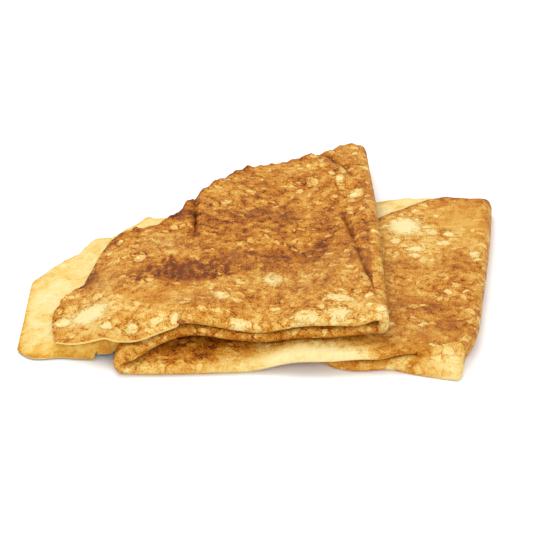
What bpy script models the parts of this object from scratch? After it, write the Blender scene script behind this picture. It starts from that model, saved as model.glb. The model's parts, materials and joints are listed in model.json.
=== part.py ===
"""Folded crepe, lying as it is served.

One round crepe is folded in half along a line that becomes its front roll, which gives a
band of two layers. The band is then folded to and fro in four runs. The top run ends at the
left in two open rims. It turns down at the right, runs back under itself, turns down again
at the left in an open V, runs to the right as the wide lower part, and is tucked under
along the right-hand edge. The front roll is torn open at the left end of the top run.

Lengths are in millimetres and become metres where the vertices are made.
Across is +X, back is +Y and up is +Z.
"""

import bpy
import numpy as np

MILLIMETRE = 0.001

# The sheet and how its layers lie
SHEET = 1.3
AIR_IN_BAND = 0.5
AIR_BETWEEN_RUNS = 0.5
HALF_BAND = 0.5 * (SHEET + AIR_IN_BAND)
BAND = 2.0 * HALF_BAND + SHEET
RUN_STEP = BAND + AIR_BETWEEN_RUNS
ROLL_REACH = HALF_BAND + 0.5 * SHEET

# The middle of the footprint in the plan that the outlines below are drawn in
ORIGIN_X = 1.19
ORIGIN_Y = 40.45

# The turns of the band, the notch where the front roll is torn, and the open rims
TOP_TURN_X = 36.8
TOP_TURN_OPENING = 0.2
TOP_TURN_LEAN = 1.2
LEFT_TURN_X = -44.6
NOTCH_X = -23.0
TORN_END_X = -50.6
TOP_TURN_CENTRE = TOP_TURN_X - ROLL_REACH - 0.5 * RUN_STEP - TOP_TURN_OPENING

# The open front corner at the right: where the sheet within turns, and where it starts to lag
CORNER_X = 44.5
SQUEEZE_FROM_X = 36.0
UPPER_RIM_X = -62.5
LOWER_RIM_X = -74.0

# The relief of the layers, as heights
DOME = 1.0
ARCH = 2.2
OVERHANG_SINK = 1.2
WAVE = 0.3
SLOT_RISE = 0.9

# How uneven and how bowed the open rims are, and how square the top turn is
RAGGED_RIM = 0.6
RIM_BOW = 2.2
BOXY = 0.75

# The flap at the open end
FLAP_RISE = 1.6
FLAP_LIP = 0.9
TORN_EDGE_SAG = 2.0

# Which way the front roll bulges, where it is narrow and where it gapes, and how far
FORWARD = np.array((0.0, -1.0, 0.0))
UP_AND_FORWARD = np.array((0.0, -0.6, 0.8))
GAPE_SHARE = 0.25
WIDE_GAPE = 4.0
WIDE_GAPE_SHARE = 0.05

# How finely the sheet is drawn
TOP_COLUMNS = 26
TORN_COLUMNS = 7
NOTCH_COLUMNS = 14
TORN_ROWS = 3
BACK_COLUMNS = 16
LOW_COLUMNS = 20
TUCK_COLUMNS = 7
TURN_COLUMNS = 5
ROLL_ROWS = 5
LAYER_ROWS = 10
FRONT_ROWS = (0.0, 1.2, 3.0)

# Plan outlines as (across, back) points that a smooth curve joins
ROLL_FRONT = ((-23, -14.0), (-13, -15.6), (-4, -15.5), (6, -15.9), (15, -17.2), (25, -16.8),
              (37, -16.2))
UPPER_FRONT = ((-63, -14.5), (-56, -16.5), (-50, -18), (-44, -19), (-38, -19.5), (-30, -16.2),
               (-23, -14.2))
LOWER_FRONT = ((-75, -10), (-71, -14.5), (-60, -16.5), (-50, -17.5), (-46, -17.2), (-36, -14),
               (-23, -12.2))
UPPER_BACK = ((-63, 9.5), (-59.3, 16), (-56, 19.5), (-54.4, 26), (-52.2, 35), (-48.5, 41.5),
              (-40.6, 45.5), (-35.5, 47), (-32.3, 49.5), (-30, 54), (-27.4, 56.5), (-25.6, 61),
              (-22.9, 66), (-17, 78), (-8, 91), (9, 97), (22, 103), (29, 110), (37, 106))
LOWER_BACK = ((-75, 24), (-73.8, 29), (-70.5, 34.5), (-64, 39.7), (-60.5, 42.5), (-57.5, 49),
              (-53.5, 50.5), (-49.5, 47.5), (-45, 49.5), (-42, 52.5), (-39, 56.5), (-35.5, 54.5),
              (-30, 57), (-22, 64), (-8, 80), (9, 92), (24, 98), (37, 100))
RETURN_FRONT = ((-46, -26), (-40, -25), (-33, -18.2), (-26, -15.0), (-13, -15.6), (-4, -15.0),
                (6, -15.6), (15, -17.2), (25, -16.2), (37, -14.2))
RETURN_BACK = ((-46, 50), (-20, 63), (10, 86), (37, 99))
LOW_FRONT = ((-46, -25), (-38, -25), (-19, -24.3), (-7, -23), (5, -20.8), (12, -21),
             (20, -23), (28, -23), (36, -23.5), (46, -22.5))
LOW_BACK_UPPER = ((-46, 50), (0, 58), (38, 60), (48, 68), (55, 73.5), (64, 74.5), (78, 73.5))
LOW_BACK_LOWER = ((-46, 52), (0, 70), (38, 77.5), (57, 77), (68, 75.5), (78, 74.5))
CREASE = ((34, -23), (40, -19.5), (47, -18.1), (55, -17.5), (63, -15))
TUCK_FRONT = ((14, -20), (22, -23.6), (28, -24.6), (36, -23), (43, -25.6), (57, -29.4))
TUCK_INNER_FRONT = ((14, -20), (22, -23.6), (28, -24), (36, -23), (46, -22.5))
RIGHT_EDGE = ((-29, 58), (-20, 61), (-10, 63.5), (13, 67.8), (38, 72), (64, 75.6), (78, 77.2))
TUCK_BACK_Y = 74.0


def smooth(t):
    """Goes from 0 to 1 with level ends."""
    t = np.clip(t, 0.0, 1.0)
    return t * t * (3.0 - 2.0 * t)


def mix(a, b, t):
    """Straight blend from a to b."""
    return a + (b - a) * t


def hump(x, middle, half_width):
    """A smooth bump of height 1."""
    return np.exp(-((x - middle) / half_width) ** 2)


def along(points, at):
    """Smooth curve through the points, read at the given places."""
    xs = np.array([p[0] for p in points], dtype=float)
    ys = np.array([p[1] for p in points], dtype=float)
    slopes = np.gradient(ys, xs)
    at = np.clip(np.asarray(at, dtype=float), xs[0], xs[-1])
    k = np.clip(np.searchsorted(xs, at) - 1, 0, len(xs) - 2)
    width = xs[k + 1] - xs[k]
    t = (at - xs[k]) / width
    start = (1 + 2 * t) * (1 - t) ** 2 * ys[k] + t * (1 - t) ** 2 * width * slopes[k]
    end = t * t * (3 - 2 * t) * ys[k + 1] + t * t * (t - 1) * width * slopes[k + 1]
    return start + end


def ragged(at, size, phase):
    """The uneven, lacy outline of the batter's rim."""
    waves = ((0.9, 0.5), (1.7, 0.3), (3.1, 0.25))
    total = 0.0
    for k, (rate, share) in enumerate(waves):
        total = total + share * np.sin(rate * at * 0.35 + phase + 1.9 * k)
    return size * total


# Heights of the middle of the band, run by run


def right_edge(y):
    """The outermost line of the turn along the right-hand side."""
    return along(RIGHT_EDGE, y)


def tuck_edge(y):
    """The slanting inner edge of the tucked run."""
    return 15.0 + 0.35 * (y + 20.0)


def tuck_height(x):
    """The tucked run lies flat."""
    return np.full_like(x, 0.5 * BAND)


def low_height(x, y):
    """The lower part climbs on to the tucked run and bows up a little at the left."""
    over_tuck = smooth((x - tuck_edge(y) + 21.0) / 19.5)
    dome = DOME * smooth((y + 24.0) / 14.0) * smooth((10.0 - x) / 25.0) * smooth((x + 42.0) / 8.0)
    return 0.5 * BAND + RUN_STEP * over_tuck + dome * (1.0 - over_tuck)


def overhang(x, y):
    """How far the two upper runs sink behind the lower part."""
    return OVERHANG_SINK * smooth((y - along(LOW_BACK_LOWER, x) - 2.0) / 32.0)


def return_height(x, y):
    """The run within arches up behind the open V."""
    arch = ARCH * hump(x, -19.0, 11.0) * smooth((22.0 - y) / 30.0)
    return low_height(x, y) + RUN_STEP + arch - overhang(x, y)


def top_height(x, y):
    """The top run undulates, and its open end slopes down to the floor at the left."""
    wave = WAVE * (1.0 + np.sin(x / 8.0 + y / 17.0)) * smooth((30.0 - x) / 12.0)
    opening = 2.0 * TOP_TURN_OPENING * hump(x, 33.0, 4.0)
    opening = opening + SLOT_RISE * hump(x, 33.0, 3.5) * smooth((-4.0 - y) / 8.0)
    over = return_height(x, y) + RUN_STEP + wave + opening
    lip = FLAP_LIP * hump(y, -13.0, 8.0) * smooth((x + 75.0) / 6.0)
    on_floor = 0.5 * BAND + FLAP_RISE * smooth((x + 76.0) / 16.0) + lip
    return mix(on_floor, over, smooth((x + 60.0) / 18.0))


# The two layers of the band: side is +1 for the sheet of the top flap and -1 for the other


def rows_between(front, back):
    """Places from the front edge to the rim, closer together at the front."""
    wide = np.linspace(front + FRONT_ROWS[-1], back, LAYER_ROWS - len(FRONT_ROWS) + 1)
    return np.concatenate((front + np.array(FRONT_ROWS[:-1]), wide))


def lean(y):
    """How far the right-hand turn of the upper runs slants inwards towards the back."""
    return TOP_TURN_LEAN * smooth((y - 60.0) / 60.0)


def turn_layer(centre_x, upper, lower, reach, rise, angle, y, way, boxy=1.0):
    """A half turn of one layer: way is +1 to the right and -1 to the left.

    The turn is round where boxy is 1, and squarer below that.
    """
    x = centre_x + way * reach * np.sin(angle) ** boxy
    level = np.sign(np.cos(angle)) * np.abs(np.cos(angle)) ** boxy
    z = 0.5 * (upper + lower) + rise * level
    return np.stack((x + 0.0 * y, y, z + 0.0 * y), axis=1)


def top_layer(f, side):
    """The top run, at the fraction f from the open rims to the right-hand turn."""
    stops = (0.0, TORN_COLUMNS / TOP_COLUMNS, NOTCH_COLUMNS / TOP_COLUMNS, 1.0)
    x = float(np.interp(f, stops, (LOWER_RIM_X, TORN_END_X, NOTCH_X, TOP_TURN_CENTRE)))
    torn = f < (NOTCH_COLUMNS - 0.5) / TOP_COLUMNS
    beyond_torn_end = f < (TORN_COLUMNS + 0.5) / TOP_COLUMNS
    if side > 0:
        if torn:
            x = NOTCH_X + (x - NOTCH_X) * (UPPER_RIM_X - NOTCH_X) / (LOWER_RIM_X - NOTCH_X)
        front = along(UPPER_FRONT, x)
        back = along(UPPER_BACK, x) + ragged(x, RAGGED_RIM, 0.4)
    else:
        front = along(LOWER_FRONT, x)
        back = along(LOWER_BACK, x) + ragged(x, RAGGED_RIM, 2.0)
    if not torn:
        front = along(ROLL_FRONT, x) + ROLL_REACH
    y = rows_between(front, back)
    x = x - lean(y) * smooth(x / TOP_TURN_CENTRE)
    if torn and side > 0:
        x = x - RIM_BOW * hump(y, -1.0, 9.0) * smooth((-50.0 - x) / 12.0)
    z = top_height(x, y) + side * HALF_BAND
    if torn and side > 0:
        sag = smooth((-8.0 - y) / 6.0) * smooth((x + 48.0) / 5.0) * smooth((-22.0 - x) / 2.5)
        z = z - TORN_EDGE_SAG * sag
    if side < 0 and beyond_torn_end:
        z = mix(0.5 * SHEET, z, smooth((y - front) / 3.0))
    return np.stack((x, y, z), axis=1)


def top_turn(f, side):
    """The turn at the right of the two upper runs."""
    angle = np.pi * f
    rim = UPPER_BACK if side > 0 else LOWER_BACK
    back = mix(along(rim, TOP_TURN_CENTRE), along(RETURN_BACK, TOP_TURN_CENTRE), f)
    at_top = along(ROLL_FRONT, TOP_TURN_CENTRE)
    front = mix(at_top, along(RETURN_FRONT, TOP_TURN_CENTRE), f) + ROLL_REACH
    y = rows_between(front, back - 4.0 * np.sin(angle) * side)
    centre = TOP_TURN_CENTRE - lean(y)
    upper = top_height(centre, y)
    lower = return_height(centre, y)
    rise = 0.5 * (upper - lower) + side * HALF_BAND
    reach = 0.5 * RUN_STEP + TOP_TURN_OPENING + side * HALF_BAND
    return turn_layer(centre, upper, lower, reach, rise, angle, y, 1, BOXY)


def left_centre(y):
    """The axis that the band turns about in the open V."""
    return LEFT_TURN_X + 0.05 * (y + 25.0) + ROLL_REACH + 0.5 * RUN_STEP


def return_layer(f, side):
    """The run below the top one, from the right-hand turn to the left-hand one."""
    front = along(RETURN_FRONT, mix(TOP_TURN_CENTRE, left_centre(-20.0), f)) + ROLL_REACH
    back = along(RETURN_BACK, mix(TOP_TURN_CENTRE, left_centre(50.0), f))
    y = rows_between(front, back)
    x = mix(TOP_TURN_CENTRE - lean(y), left_centre(y), f)
    z = return_height(x, y) - side * HALF_BAND
    return np.stack((x, y, z), axis=1)


def left_turn(f, side):
    """The open V at the left."""
    angle = np.pi * f
    front = along(RETURN_FRONT, left_centre(-20.0)) + ROLL_REACH
    back = along(RETURN_BACK, left_centre(50.0))
    y = rows_between(front, back)
    x = left_centre(y)
    upper = return_height(x, y)
    lower = low_height(x, y)
    rise = 0.5 * (upper - lower) - side * HALF_BAND
    return turn_layer(x, upper, lower, 0.5 * RUN_STEP - side * HALF_BAND, rise, angle, y, -1)


def outer_end(y):
    """Where the upper sheet of the lower part starts to turn down at the right."""
    return right_edge(y) - ROLL_REACH - 0.5 * RUN_STEP


def inner_end(y):
    """The same for the sheet within, which turns early at the front corner."""
    return mix(CORNER_X, outer_end(y), smooth((y + 14.0) / 26.0))


def squeezed(x, y):
    """The place within of a point of the outer sheet."""
    share = np.maximum(x - SQUEEZE_FROM_X, 0.0) / (outer_end(y) - SQUEEZE_FROM_X)
    return np.minimum(x, SQUEEZE_FROM_X) + share * (inner_end(y) - SQUEEZE_FROM_X)


def low_layer(f, side):
    """The lower part, from the left-hand turn to the right-hand edge."""
    x_front = mix(left_centre(-20.0), outer_end(-20.0), f)
    x_back = mix(left_centre(50.0), outer_end(TUCK_BACK_Y), f)
    if side > 0:
        on_crease = smooth((x_front - 33.0) / 4.0)
        front = mix(along(LOW_FRONT, x_front) + ROLL_REACH, along(CREASE, x_front), on_crease)
        back = along(LOW_BACK_UPPER, x_back) + ragged(x_back, 0.8, 1.0)
    else:
        front = along(LOW_FRONT, squeezed(x_front, -20.0)) + ROLL_REACH
        back = along(LOW_BACK_LOWER, x_back) + ragged(x_back, 0.8, 3.0)
    y = rows_between(front, back)
    x = mix(left_centre(y), outer_end(y), f)
    if side < 0:
        x = squeezed(x, y)
    z = low_height(x, y) + side * HALF_BAND
    return np.stack((x, y, z), axis=1)


def right_turn(f, side):
    """The turn along the right-hand edge, wide open at the front corner."""
    angle = np.pi * f
    if side > 0:
        front = mix(along(CREASE, 60.0), along(TUCK_FRONT, 57.0) + 0.5 * SHEET, f)
        y = rows_between(front, mix(along(LOW_BACK_UPPER, 74.0), TUCK_BACK_Y, f))
        x = outer_end(y)
    else:
        y = rows_between(-22.5 + ROLL_REACH, mix(along(LOW_BACK_LOWER, 74.0), TUCK_BACK_Y, f))
        x = inner_end(y)
    upper = low_height(outer_end(y), y)
    lower = tuck_height(x)
    rise = 0.5 * (upper - lower) + side * HALF_BAND
    return turn_layer(x, upper, lower, 0.5 * RUN_STEP + side * HALF_BAND, rise, angle, y, 1)


def tuck_layer(f, side):
    """The run tucked under, which narrows to a point at the back."""
    x_front = mix(outer_end(-27.0), tuck_edge(-22.0), f)
    if side > 0:
        inset = mix(ROLL_REACH, 0.5 * SHEET, smooth((x_front - 28.0) / 8.0))
        front = along(TUCK_FRONT, x_front) + inset
    else:
        front = along(TUCK_INNER_FRONT, squeezed(x_front, -20.0)) + ROLL_REACH
    y = rows_between(front, TUCK_BACK_Y)
    x = mix(outer_end(y), tuck_edge(y), f)
    if side < 0:
        x = squeezed(x, y)
    z = tuck_height(x) - side * HALF_BAND
    return np.stack((x, y, z), axis=1)


def roll_between(lower_edge, upper_edge):
    """The front roll: a half ellipse from one layer's front edge to the other's."""
    middle = 0.5 * (upper_edge + lower_edge)
    half = 0.5 * (upper_edge - lower_edge)
    length = np.linalg.norm(half)
    across = half / length
    outward = mix(FORWARD, UP_AND_FORWARD, smooth((length - HALF_BAND) / 2.0))
    bulge = outward - (outward @ across) * across
    swell = HALF_BAND + GAPE_SHARE * (length - HALF_BAND)
    swell = swell + WIDE_GAPE_SHARE * max(length - WIDE_GAPE, 0.0) ** 2
    bulge = bulge * swell / np.linalg.norm(bulge)
    rows = []
    for k in range(1, ROLL_ROWS):
        angle = np.pi * (1.0 - k / ROLL_ROWS)
        rows.append(middle + half * np.cos(angle) + bulge * np.sin(angle))
    return np.array(rows)


def sheet_grid():
    """The middle surface of the sheet, column by column along the front roll."""
    runs = ((top_layer, TOP_COLUMNS), (top_turn, TURN_COLUMNS), (return_layer, BACK_COLUMNS),
            (left_turn, TURN_COLUMNS), (low_layer, LOW_COLUMNS), (right_turn, TURN_COLUMNS),
            (tuck_layer, TUCK_COLUMNS))
    columns = []
    for layer, count in runs:
        last = count + 1 if layer is tuck_layer else count
        for k in range(last):
            lower = layer(k / count, -1)
            upper = layer(k / count, 1)
            roll = roll_between(lower[0], upper[0])
            columns.append(np.concatenate((lower[::-1], roll, upper)))
    return np.array(columns)


def crepe_mesh():
    """The sheet as triangles, without the split in the front roll and the torn patch."""
    grid = sheet_grid()
    columns, rows = grid.shape[:2]
    first_roll = LAYER_ROWS - 1
    last_roll = LAYER_ROWS + ROLL_ROWS - 1
    faces = []
    for i in range(columns - 1):
        for j in range(rows - 1):
            split = i < NOTCH_COLUMNS and first_roll <= j < last_roll
            missing = TORN_COLUMNS <= i < NOTCH_COLUMNS and first_roll - TORN_ROWS <= j < first_roll
            if split or missing:
                continue
            a = i * rows + j
            b = a + rows
            if j < first_roll:
                faces += [(a, b, a + 1), (b, b + 1, a + 1)]
            else:
                faces += [(a, b, b + 1), (a, b + 1, a + 1)]
    used = sorted({corner for face in faces for corner in face})
    place = {old: new for new, old in enumerate(used)}
    points = grid.reshape(-1, 3)[used] - np.array((ORIGIN_X, ORIGIN_Y, 0.0))
    mesh = bpy.data.meshes.new("crepe")
    mesh.from_pydata([tuple(p) for p in points * MILLIMETRE], [],
                     [tuple(place[c] for c in face) for face in faces])
    mesh.shade_smooth()
    return mesh


def browned_crepe_material():
    material = bpy.data.materials.new("browned crepe")
    material.use_nodes = True
    shader = material.node_tree.nodes["Principled BSDF"]
    shader.inputs["Base Color"].default_value = (0.62, 0.35, 0.10, 1.0)
    shader.inputs["Roughness"].default_value = 0.5
    shader.inputs["Metallic"].default_value = 0.0
    return material


def build():
    for old in list(bpy.data.objects):
        bpy.data.objects.remove(old, do_unlink=True)
    crepe = bpy.data.objects.new("crepe", crepe_mesh())
    crepe.data.materials.append(browned_crepe_material())
    bpy.context.scene.collection.objects.link(crepe)
    wall = crepe.modifiers.new("sheet thickness", "SOLIDIFY")
    wall.thickness = SHEET * MILLIMETRE
    wall.offset = 0.0


build()
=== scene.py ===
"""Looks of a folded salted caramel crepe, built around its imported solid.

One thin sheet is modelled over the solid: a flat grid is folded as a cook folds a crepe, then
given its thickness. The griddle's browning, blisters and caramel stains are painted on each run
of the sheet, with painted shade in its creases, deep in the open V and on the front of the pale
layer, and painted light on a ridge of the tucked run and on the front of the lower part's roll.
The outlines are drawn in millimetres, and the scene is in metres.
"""

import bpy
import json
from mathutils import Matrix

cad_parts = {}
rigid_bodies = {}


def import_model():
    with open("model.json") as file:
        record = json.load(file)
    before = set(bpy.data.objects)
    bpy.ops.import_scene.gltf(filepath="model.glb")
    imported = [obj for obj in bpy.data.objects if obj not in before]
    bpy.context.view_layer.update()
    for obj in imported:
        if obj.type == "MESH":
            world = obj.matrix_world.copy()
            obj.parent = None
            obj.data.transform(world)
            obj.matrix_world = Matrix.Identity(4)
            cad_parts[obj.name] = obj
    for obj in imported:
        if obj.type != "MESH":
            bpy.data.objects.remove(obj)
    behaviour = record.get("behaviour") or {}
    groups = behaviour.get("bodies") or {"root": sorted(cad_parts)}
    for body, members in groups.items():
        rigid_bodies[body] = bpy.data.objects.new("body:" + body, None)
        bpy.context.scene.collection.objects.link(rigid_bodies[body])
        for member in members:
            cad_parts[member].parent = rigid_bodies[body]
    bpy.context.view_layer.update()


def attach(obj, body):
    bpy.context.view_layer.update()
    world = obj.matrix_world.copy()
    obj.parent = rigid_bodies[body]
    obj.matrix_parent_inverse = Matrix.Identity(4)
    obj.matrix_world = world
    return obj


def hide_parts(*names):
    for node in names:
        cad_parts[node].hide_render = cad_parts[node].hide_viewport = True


bl_info = {
    "name": "Folded crepe",
    "version": (1, 0, 0),
    "blender": (4, 5, 0),
    "location": "View3D > Sidebar > Crepe",
    "description": "A griddled crepe folded into a flat parcel, with its caramel",
    "category": "Add Mesh",
}

import json
import math

import bpy
import numpy as np
from mathutils import Euler, Vector, noise

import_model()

MM = 0.001

# The plan that the outlines are drawn in: its origin lies here in the part's frame
ORIGIN_X = 1.19
ORIGIN_Y = 40.45

# The sheet and how its layers lie
SHEET = 1.3
HALF_BAND = 0.9
BAND = 2.0 * HALF_BAND + SHEET
RUN_STEP = BAND + 0.5
ROLL_REACH = HALF_BAND + 0.5 * SHEET

# The turns of the band, the notch where the front roll is torn, and the open rims
TOP_TURN_X = 36.8
TOP_TURN_OPENING = 0.2
TOP_TURN_LEAN = 1.2
TOP_TURN_CENTRE = TOP_TURN_X - ROLL_REACH - 0.5 * RUN_STEP - TOP_TURN_OPENING
LEFT_TURN_X = -44.6
LEFT_TURN_Y = -25.0
LEFT_TURN_SLANT = 0.05
NOTCH_X = -25.0
TORN_END_X = -50.6
UPPER_RIM_X = -62.5
LOWER_RIM_X = -74.0

# The front corner at the right, where the sheet within turns early, and the tucked run
CORNER_X = 44.5
SQUEEZE_FROM_X = 36.0
CORNER_TOP_X = 60.0
CORNER_BOTTOM_X = 57.0
CORNER_INNER_Y = -22.5
RIGHT_BACK_X = 74.0
TUCK_EDGE_X = 15.0
TUCK_EDGE_SLANT = 0.35
TUCK_CORNER_Y = -27.0
TUCK_POINT_Y = -22.0
TUCK_BACK_Y = 74.0

# How far back the slanting ends of the runs are measured: near the front, and at the back
FRONT_Y = -20.0
BACK_Y = 50.0

# Relief of the layers, as heights
DOME = 1.0
ARCH = 2.2
OVERHANG_SINK = 1.2
WAVE = 0.3
SLOT_X = 33.0
SLOT_RISE = 1.5

# How uneven and how bowed the open rims are, and how square the top turn is
RAGGED_RIM = 0.6
RAGGED_LOW_RIM = 0.8
RAGGED_RATE = 0.35
RAGGED_WAVES = ((0.9, 0.5), (1.7, 0.3), (3.1, 0.25))
RIM_BOW = 2.2
BOXY = 0.62
UPPER_TURN_BOW = 0.4
LOWER_TURN_BOW = 4.0

# The flap at the open end, and the corners at the right
FLAP_RISE = 1.6
FLAP_LIP = 0.9
TORN_EDGE_SAG = 2.0
CURLED_EDGE_RISE = 1.8
CORNER_LIFT = 1.5
CORNER_PINCH = 1.6

# Which way the front roll bulges, where it is narrow and where it gapes, and how far it gapes
FORWARD = np.array((0.0, -1.0, 0.0))
UP_AND_FORWARD = np.array((0.0, -0.6, 0.8))
FULL_GAPE = 2.0

# How finely the sheet is drawn, and how far its rows crowd towards the front and the rim
TORN_COLUMNS = 28
NOTCH_COLUMNS = 56
TOP_COLUMNS = 128
RETURN_COLUMNS = 30
LOW_COLUMNS = 84
TUCK_COLUMNS = 14
TURN_COLUMNS = 14
PALE_ROWS = 44
ROLL_ROWS = 10
BROWN_ROWS = 98
LAST_PALE_ROW = PALE_ROWS - 1
FIRST_BROWN_ROW = PALE_ROWS + ROLL_ROWS - 1
CROWDING = 0.45

# The sheet reaches its full thickness this many columns or rows from a rim
RIM_STEPS = 4.0
SMOOTH_ANGLE = math.radians(50.0)

# The numbers of the runs that are painted apart, in the order of RUNS
TOP_RUN = 0
TOP_TURN_RUN = 1
LOW_RUN = 4
OUTER_RUN = 5

# Plan outlines as (across, back) points that a smooth curve joins
ROLL_FRONT = ((-25, -14.0), (-13, -15.6), (-4, -15.5), (6, -15.9), (15, -17.2), (25, -16.8),
              (37, -16.2))
UPPER_FRONT = ((-63, -14.5), (-56, -16.5), (-50, -18), (-44, -19), (-38, -19.5), (-30, -16.2),
               (-25, -14.4))
LOWER_FRONT = ((-75, -11), (-73, -14), (-60, -16.6), (-50, -17.5), (-46, -17.2), (-36, -14),
               (-25, -12.4))
UPPER_BACK = ((-63, 9.5), (-59.3, 16), (-56, 19.5), (-54.4, 26), (-52.2, 35), (-48.5, 41.5),
              (-40.6, 45.5), (-35.5, 47), (-32.3, 49.5), (-30, 54), (-27.4, 56.5), (-25.6, 61),
              (-22.9, 64.8), (-17, 76), (-13, 80.8), (-8, 88), (0, 92.6), (9, 95.8), (22, 102.6),
              (29, 110.4), (37, 107))
LOWER_BACK = ((-75, 24), (-73.8, 27.6), (-70.5, 31.8), (-64, 39.7), (-60.5, 42.5), (-57.5, 49),
              (-53.5, 50.5), (-49.5, 47.5), (-45, 49.5), (-42, 52.5), (-39, 56.5), (-35.5, 54.5),
              (-30, 57), (-22, 64), (-8, 80), (9, 92), (24, 98), (37, 100))
RETURN_FRONT = ((-46, -26), (-40, -25), (-33, -18.2), (-26, -15.0), (-13, -15.6), (-4, -15.0),
                (6, -15.6), (15, -17.2), (25, -16.2), (37, -14.2))
RETURN_BACK = ((-46, 50), (-20, 63), (10, 86), (37, 99))
LOW_FRONT = ((-46, -25.2), (-38, -25.8), (-19, -25.4), (-7, -24.8), (5, -24.4), (12, -24.8),
             (20, -24.6), (28, -23.6), (36, -23.5), (46, -22.5))
LOW_BACK_UPPER = ((-46, 50), (0, 58), (38, 60), (48, 68), (55, 73.5), (64, 74.5), (78, 73.5))
LOW_BACK_LOWER = ((-46, 52), (0, 70), (38, 77.5), (57, 77), (68, 75.5), (78, 74.5))
CREASE = ((34, -23), (40, -19.5), (47, -18.1), (55, -17.5), (63, -15))
TUCK_FRONT = ((14, -17), (18, -20.5), (22, -22.8), (28, -24.2), (36, -22.6), (43, -25), (57, -29))
TUCK_INNER_FRONT = ((14, -20), (22, -23.6), (28, -24), (36, -23), (46, -22.5))

# The outermost line of the turn along the right-hand side, as (back, across)
RIGHT_EDGE = ((-30, 59.3), (-24, 59.7), (-19, 60.7), (-14, 62.2), (-10, 63.5), (13, 67.8),
              (38, 72), (64, 75.6), (78, 77.2))

# Folds and creases that stand on the top run and the tucked run, as bent lines
CORNER_CREASE = ((16, 102), (18.7, 100), (22.1, 98), (24.2, 93), (27.4, 90), (30, 82))
LONG_GROOVE = ((25.2, 55), (27.5, 39), (29.4, 23), (30.9, 13), (32.4, 6), (34.5, -4))
PLEAT = ((-23.2, 70), (-23, 59), (-22.3, 38))
TUCK_RIDGE = ((26.6, -28), (32.8, -27), (41.5, -21.9), (47.8, -17.4))
TUCK_VALLEY = ((36, -27.5), (43, -23.5), (49, -19))

# Curls of the back rim: (across, back, radius, height)
CURLS = ((-10.8, 85.5, 1.6, 1.8), (-6.8, 89.5, 1.5, 1.6), (-26.2, 59, 1.8, 0.7),
         (-16.4, 76, 1.8, 0.9), (-30.5, 52, 1.2, 0.6), (-20.5, 71, 1.2, 0.5))

# Streaks of caramel soaked through the top run, as bent lines
RUNNELS = (((-31, 23.5), (-30.3, 13)), ((-29, 24.8), (-28.1, 10.6)),
           ((-24.7, 24.8), (-22.8, 15.8), (-20.3, 10)), ((-26.2, 19.7), (-25.8, 10.6)),
           ((-21.2, 21), (-18.4, 15.8), (-18.1, 10.6)), ((-32.8, 18.4), (-33, 11.3)),
           ((-35.9, 18.4), (-35.3, 12)), ((-38.8, 15.8), (-39, 10.6)),
           ((-16.5, 19.7), (-15.6, 11)), ((-12.5, 19), (-11, 13)))

# Soft patches: (across, back, half across, half back, amount). In the bake tables, browner where
# the amount is over 0; two patches of the lower part's table are painted shade and painted light,
# as marked there.
TOP_BAKE = (
    (0, 48, 28, 12, 0.22), (22, 36, 8, 7, 0.22), (0, 72, 26, 12, 0.08), (5, 24, 20, 9, 0.24),
    (-28, 54, 4, 5, 0.24), (-10, 88, 6, 3, 0.15), (10, -3, 22, 6, 0.1), (5, -16, 30, 1.5, -0.24),
    (-53, -4, 10, 8, -0.36), (-38, -12, 12, 7, -0.14), (24, -6, 9, 6, -0.26),
    (8, -9, 20, 6, -0.06), (-25, 15, 12, 7, 0.2), (-54, 20, 3, 5, 0.3), (-13, -1, 5, 4, -0.15),
    (3, 11, 6, 6, -0.16), (33, 20, 3, 26, 0.18), (27, 96, 8, 10, 0.05), (31, 74, 5, 16, -0.06),
    (-40, 32, 9, 10, 0.04))
LOW_BAKE_AND_PAINTED_LIGHT = (
    (64, 56, 11, 13, -0.14), (46, 54, 7, 7, -0.28), (50, 42, 12, 7, -0.16), (50, 18, 8, 6, -0.1),
    (65, 35, 6, 4, 0.16), (52, 4, 7, 5, 0.18), (55, -8.5, 7, 4, 0.2), (67, 34.7, 2.5, 3, -0.3),
    # (-20, -11) is painted shade deep in the open V, not browning
    (-25, -17, 22, 9, 0.16), (-20, -11, 14, 4, 0.14), (8, -22, 16, 5, -0.52),
    # (-20, -25) is painted light on the front face of the lower part's roll, not paler batter
    (24, -24, 8, 4, -0.4), (-20, -25, 30, 2.5, -0.22))
TUCK_BAKE = ((50, -26, 12, 6, -0.22), (56, -22, 4, 8, -0.26), (50, -29, 2.5, 2, 0.3),
             (43, -26, 2.5, 2, 0.3))
TOP_CARAMEL = (
    (15, 4, 16, 6, 0.5), (-24.5, 18, 10, 7, 0.4), (-29, 33, 12, 5, 0.9), (-9, 25.3, 3, 3, 1.1),
    (-4, 55, 16, 4, 0.45), (24, 20, 9, 6, 0.6), (8, 14, 16, 5, 0.5), (-20, -4, 9, 3, 0.7),
    (32, 20, 4, 8, 0.7), (-45, 14, 9, 4, 0.5), (15, 52, 8, 5, 0.5), (-2, 22, 12, 5, 0.5),
    (-54, 18, 3, 4, 0.5))
LOW_CARAMEL = ((52, -2, 14, 12, 0.35), (40, 3.7, 6, 5, 0.8), (45, 28, 12, 4, 0.6),
               (48, -12, 12, 4, 0.5), (62, 32, 6, 4, 0.5))
TOP_DRIP = ((-26, 14, 10, 7, 1.0), (-13, 17, 6, 5, 0.8), (-37, 12, 7, 4, 0.8),
            (-46, 11, 6, 3, 0.5), (-54, 17, 2.5, 4, 0.6), (-5, 24, 6, 3, 0.5),
            (-27, 52, 3, 6, 0.5), (30, 20, 4, 5, 0.3))
LOW_DRIP = ((38, 4, 4, 3, 0.4),)
TOP_EVEN = ((-30, 0, 10, 7, 0.35), (-52, -6, 11, 9, 0.35), (0, 88, 10, 5, 0.25))
LOW_EVEN = ((8, -22, 18, 4, 0.8), (-15, -25, 20, 2, 0.3), (50, -24, 14, 7, 0.45),
            (66, 58, 10, 13, 0.75), (48, -14, 9, 3, 0.4), (62, 40, 7, 4, 0.3))

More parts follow.
